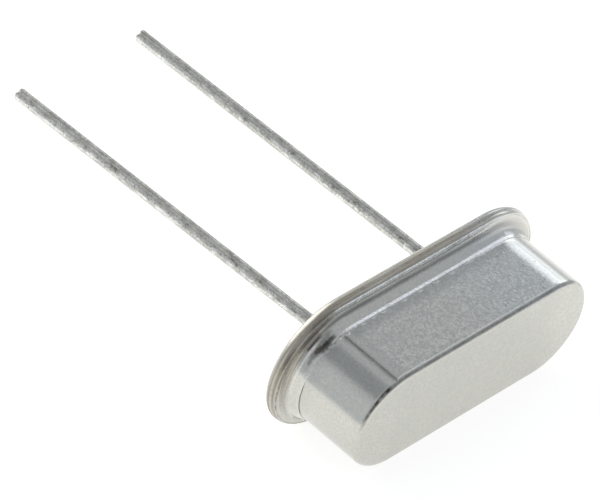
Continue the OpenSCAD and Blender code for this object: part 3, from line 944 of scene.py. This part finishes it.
def leadOutline(length):
    # From the cut end up the tinned leg, the bare shank and round the flat head.
    r = lead["radius"]
    bare = r - lead["tin"]
    tip = lead["tip"]
    top = lead["top"]
    edge = lead["headEdge"]
    headX = lead["head"] - edge
    headZ = lead["headZ"]
    headTop = headZ + lead["headThick"]
    out = [(0, -length)] + run((0, -length), (r - tip, -length), lead["faceRows"])
    out += arc((r - tip, -length + tip), tip, 270, 360, lead["tipRows"])
    out += run((r, -length + tip), (r, top), lead["legRows"])
    out += [(r, top), (bare, top + lead["tinEdge"])]
    out += run((bare, top), (bare, headZ), lead["shankRows"]) + [(bare, headZ)]
    out += arc((headX, headZ + edge), edge, 270, 360, lead["edgeRows"])
    out += arc((headX, headTop - edge), edge, 0, 90, lead["edgeRows"])
    out += [(lead["headMiddle"], headTop), (0, headTop)]
    return out


def dipped(v, middle, facts):
    # Makes the tin uneven and cuts the nick, which fades out a little way up the wire.
    out = Vector((v.co.x - middle, v.co.y, 0))
    place = Vector((v.co.x, v.co.y, v.co.z * lead["unevenAlong"])) * lead["unevenEach"]
    place += Vector((facts["seed"], 0, 0))
    v.co -= out * lead["uneven"] * (0.5 + 0.5 * noise.noise(place))
    across = out.x * lead["nickAcross"][0] + out.y * lead["nickAcross"][1] - facts["nickAt"]
    height = v.co.z + facts["length"]
    fade = min(1.0, max(0.0, (lead["nickReach"] - height) / (lead["nickReach"] - lead["tip"])))
    v.co.z += lead["nickDepth"] * max(0.0, 1 - abs(across) / lead["nickHalf"]) * fade


def buildLead(side, name, facts):
    bm = bmesh.new()
    x = side * can["pitch"] / 2
    top = lead["top"]
    turned(bm, leadOutline(facts["length"]), x, lead["steps"])
    leanX, leanY = [math.radians(angle) for angle in facts["lean"]]
    lean = Matrix.Rotation(leanY, 3, "Y") @ Matrix.Rotation(leanX, 3, "X")
    foot = Vector((x, 0, top))
    for v in bm.verts:
        if v.co.z < top - lead["evenAbove"]:
            dipped(v, x, facts)
        if v.co.z < top + lead["tinEdge"] / 2:
            v.co = foot + lean @ (v.co - foot)
    return finishPiece(name + "_wire", bm, tinnedWire, [name], sharp=lead["sharpOver"])


buildLead(-1, "lead_left", lead["left"])
buildLead(1, "lead_right", lead["right"])

# The seals and what the can holds keep the frame's own shapes and get their finishes here.
# A noise is (size in millimetres, detail, roughness); a ramp is (from, to, and the values there).
glass = {
    "dark": (0.012, 0.016, 0.018),
    "light": (0.05, 0.065, 0.07),
    "swirl": (0.35, 3, 0.5),
    "swirlTurn": 1.2,
    "swirlTone": (0.35, 0.7),
    "bubble": 0.09,
    "bubbleSize": (0.12, 0.26, 1.0, 0.0),
    "bubbleLevel": 0.5,
    "rough": (0.3, 0.7, 0.06, 0.16),
    "index": 1.52,
    "swirlDepth": 0.008,
    "bubbleDepth": 0.003,
}


def makeSealingGlass():
    # Fused glass, nearly black, with fine bubbles and a soft swirl.
    material, tree, shader = newFinish("sealing_glass")
    place = partSpace(tree)["place"]
    swirl = grain(tree, place, *glass["swirl"], distortion=glass["swirlTurn"])
    bubbles = ramp(tree, cells(tree, place, glass["bubble"]).outputs["Distance"], *glass["bubbleSize"])
    colour = blend(tree, ramp(tree, swirl, *glass["swirlTone"]), glass["dark"], glass["light"])
    colour = blend(tree, times(tree, bubbles, glass["bubbleLevel"]), colour, glass["light"])
    shader.inputs["IOR"].default_value = glass["index"]
    surface(tree, shader, colour, ramp(tree, swirl, *glass["rough"]),
            [(swirl, glass["swirlDepth"]), (bubbles, glass["bubbleDepth"])])
    return material


def makeTwoTone(name, facts):
    # A metallic finish in two tones that follow its noise, with soft darker clouds.
    material, tree, shader = newFinish(name)
    place = partSpace(tree)["place"]
    shader.inputs["Metallic"].default_value = facts["metallic"]
    fine = grain(tree, place, *facts["fine"])
    cloud = grain(tree, place, *facts["cloud"])
    colour = blend(tree, ramp(tree, fine, *facts["tone"]), facts["dark"], facts["light"])
    colour = blend(tree, ramp(tree, cloud, *facts["clouded"]), colour, facts["dark"])
    surface(tree, shader, colour, ramp(tree, fine, *facts["rough"]), [(fine, facts["depth"])])
    return material


rolledStrip = {
    "light": (0.70, 0.68, 0.62),
    "dark": (0.52, 0.50, 0.45),
    "metallic": 1.0,
    "fine": (0.03, 2, 0.6, (0.05, 1, 1)),  # drawn out into fine rolling lines
    "cloud": (0.4, 2, 0.5),
    "tone": (0.35, 0.65),
    "clouded": (0.45, 0.75, 0.0, 0.3),
    "rough": (0.3, 0.7, 0.36, 0.22),
    "depth": 0.0015,
}
silverFilm = {
    "light": (0.90, 0.89, 0.86),
    "dark": (0.76, 0.75, 0.72),
    "metallic": 1.0,
    "fine": (0.05, 3, 0.6),
    "cloud": (0.6, 2, 0.5),
    "tone": (0.32, 0.68),
    "clouded": (0.45, 0.8, 0.0, 0.35),
    "rough": (0.3, 0.7, 0.36, 0.20),
    "depth": 0.0008,
}
silverPaste = silverFilm | {
    "light": (0.60, 0.60, 0.59),
    "dark": (0.44, 0.44, 0.43),
    "metallic": 0.35,
    "fine": (0.035, 3, 0.6),
    "rough": (0.3, 0.7, 0.65, 0.49),
    "depth": 0.006,
}
quartz = {
    "clear": (0.90, 0.93, 0.94),
    "lapped": (0.74, 0.78, 0.80),
    "fine": (0.04, 3, 0.6),
    "cloud": (0.9, 2, 0.5),
    "tone": (0.35, 0.7),
    "rough": (0.3, 0.7, 0.25, 0.5),
    "index": 1.54,
    "seeThrough": 0.55,
    "depth": 0.001,
}


def makeQuartz():
    # A lapped crystal blank: clear stone under a fine matt surface.
    material, tree, shader = newFinish("quartz")
    place = partSpace(tree)["place"]
    fine = grain(tree, place, *quartz["fine"])
    cloud = grain(tree, place, *quartz["cloud"])
    colour = blend(tree, ramp(tree, cloud, *quartz["tone"]), quartz["lapped"], quartz["clear"])
    shader.inputs["IOR"].default_value = quartz["index"]
    shader.inputs["Transmission Weight"].default_value = quartz["seeThrough"]
    surface(tree, shader, colour, ramp(tree, fine, *quartz["rough"]), [(fine, quartz["depth"])])
    return material


finishes = {
    "glass_seal": makeSealingGlass(),
    "clip": makeTwoTone("clip_spring", rolledStrip),
    "quartz": makeQuartz(),
    "electrode": makeTwoTone("silver_film", silverFilm),
    "adhesive": makeTwoTone("silver_adhesive", silverPaste),
}

for name, node in nodes.items():
    for start, finish in finishes.items():
        if name.startswith(start):
            for slot in node.material_slots:
                slot.material = finish
print("finished the glass and the crystal")

studio = {
    "floorRadius": 0.03,
    "floorSides": 64,
    "floorColour": (0.93, 0.91, 0.88),
    "seenColour": (0.38, 0.375, 0.36),
    "floorFill": 0.81,
    "floorRough": 0.9,
    "sky": 0.60,
    "skyColour": (0.95, 1.0, 1.07),
    "belowSky": 0.2,
    "belowZ": (0.03, -0.12),
    # soft boxes and dark gaps: direction, where each starts and is full (cosines), strength, colour
    "patches": [
        ((-0.355, 0.83, 0.43), 0.94, 0.992, 1.0, (0.97, 1.0, 1.03)),
        ((-0.293, 0.588, 0.755), 0.94, 0.985, -0.06, (1.0, 1.0, 1.0)),
        ((-0.82, 0.0, 0.57), 0.84, 0.92, 2.6, (1.0, 1.0, 1.0)),
        ((-0.40, -0.88, 0.20), 0.80, 0.97, 0.13, (1.0, 1.0, 0.98)),
        ((-0.255, -0.40, 0.88), 0.94, 0.985, -0.22, (0.97, 1.0, 1.03)),
        ((-0.11, 0.90, 0.42), 0.972, 0.99, 0.9, (1.0, 1.0, 1.0)),
        ((-0.44, 0.90, 0.0), 0.955, 0.99, 0.2, (1.0, 0.99, 0.97)),
    ],
    # a narrow dark gap between two ceiling panels, and a bright strip lamp overhead: where each
    # is and its ends (cosines), the way across it, where it starts to fade and ends, strength
    "strips": [
        ((-0.24, 0.17, 0.96), (0.90, 0.96), (0.041, 0.9856, -0.164), (0.02, 0.07), -0.55),
        ((0.04, 0.587, 0.81), (0.88, 0.95), (0.9945, -0.02, -0.03), (0.05, 0.11), 0.55),
    ],
    # the dark room seen over the front of the table
    "room": [("x", 0.36, 0.56, 0.0, -0.25), ("z", "near", 0.42, 0.12, 0.14), ("y", -0.3, -0.15),
             ("y", 0.7, 0.85, 1.0, 0.0)],
    # and through the opening for the camera: direction, start, full and strength
    "opening": ((0.45, -0.35, 0.82), 0.93, 0.98, -0.32),
}


def makeFloor():
    bm = bmesh.new()
    bmesh.ops.create_circle(bm, cap_ends=True, segments=studio["floorSides"], radius=studio["floorRadius"])
    mesh = bpy.data.meshes.new("floor")
    bm.to_mesh(mesh)
    bm.free()
    floor = bpy.data.objects.new("floor", mesh)
    bpy.context.scene.collection.objects.link(floor)
    material, tree, shader = newFinish("floor_white")
    shader.inputs["Roughness"].default_value = studio["floorRough"]
    shader.inputs["Specular IOR Level"].default_value = 0.0
    path = tree.nodes.new("ShaderNodeLightPath")
    rays = ("Is Camera Ray", "Is Glossy Ray", "Is Transmission Ray")
    seen = largest(tree, *[path.outputs[ray] for ray in rays])
    colour = blend(tree, seen, studio["floorColour"], studio["seenColour"])
    tree.links.new(colour, shader.inputs["Base Color"])
    shader.inputs["Emission Color"].default_value = (1, 1, 1, 1)
    tree.links.new(times(tree, seen, studio["floorFill"]), shader.inputs["Emission Strength"])
    mesh.materials.append(material)


def makeWorld():
    world = bpy.data.worlds.new("studio_tent")
    bpy.context.scene.world = world
    world.use_nodes = True
    tree = world.node_tree
    background = tree.nodes["Background"]
    coords = tree.nodes.new("ShaderNodeTexCoord")
    split = tree.nodes.new("ShaderNodeSeparateXYZ")
    tree.links.new(coords.outputs["Generated"], split.inputs[0])
    fields = dict(zip("xyz", split.outputs))

    def facing(direction):
        towards = Vector(direction).normalized()
        return vectorCalc(tree, "DOT_PRODUCT", coords.outputs["Generated"], towards)

    def tinted(level, colour):
        return blend(tree, 1.0, colour, level, "MULTIPLY")

    below = ramp(tree, fields["z"], *studio["belowZ"], 0.0, studio["belowSky"])
    sky = calc(tree, "ADD", studio["sky"], below)
    direction, start, full, strength = studio["opening"]
    opening = ramp(tree, facing(direction), start, full, 0.0, strength)
    sky = calc(tree, "ADD", sky, calc(tree, "MINIMUM", mark(tree, fields, studio["room"]), opening))
    for middle, reach, across, fade, strength in studio["strips"]:
        strip = ramp(tree, calc(tree, "ABSOLUTE", facing(across)), *fade, strength, 0.0)
        sky = calc(tree, "ADD", sky, times(tree, strip, ramp(tree, facing(middle), *reach)))
    colour = tinted(sky, studio["skyColour"])
    for direction, start, full, strength, tone in studio["patches"]:
        patch = ramp(tree, facing(direction), start, full, 0.0, strength)
        colour = blend(tree, 1.0, colour, tinted(patch, tone), "ADD")
    path = tree.nodes.new("ShaderNodeLightPath")
    colour = blend(tree, path.outputs["Is Camera Ray"], colour, (1, 1, 1))
    tree.links.new(colour, background.inputs["Color"])
    background.inputs["Strength"].default_value = 1.0


# The camera on the upright part: where it stands, and the ways right, down and forward in its view.
view = {
    "place": (-103.15, 117.371, 71.886),
    "right": (0.7022, 0.1697, 0.6915),
    "down": (-0.3949, -0.7153, 0.5766),
    "ahead": (0.5924, -0.6779, -0.4353),
    "focalPixels": 5760.8,
    "widthPixels": 600,
    "sensorWidth": 36,
    "clipStart": 0.005,
    "clipEnd": 10,
}


def makeCamera():
    turn = laid.to_3x3().normalized()
    right, down, ahead = [turn @ Vector(view[way]) for way in ("right", "down", "ahead")]
    data = bpy.data.cameras.new("camera")
    data.sensor_width = view["sensorWidth"]
    data.lens = view["focalPixels"] / view["widthPixels"] * data.sensor_width
    data.clip_start = view["clipStart"]
    data.clip_end = view["clipEnd"]
    camera = bpy.data.objects.new("camera", data)
    place = Matrix.Translation(laid @ Vector(view["place"]))
    camera.matrix_world = place @ Matrix((right, -down, -ahead)).transposed().to_4x4()
    bpy.context.scene.collection.objects.link(camera)
    bpy.context.scene.camera = camera


makeFloor()
makeWorld()
makeCamera()
bpy.context.scene.view_settings.view_transform = "Standard"
print("set up the studio")

bpy.context.view_layer.update()
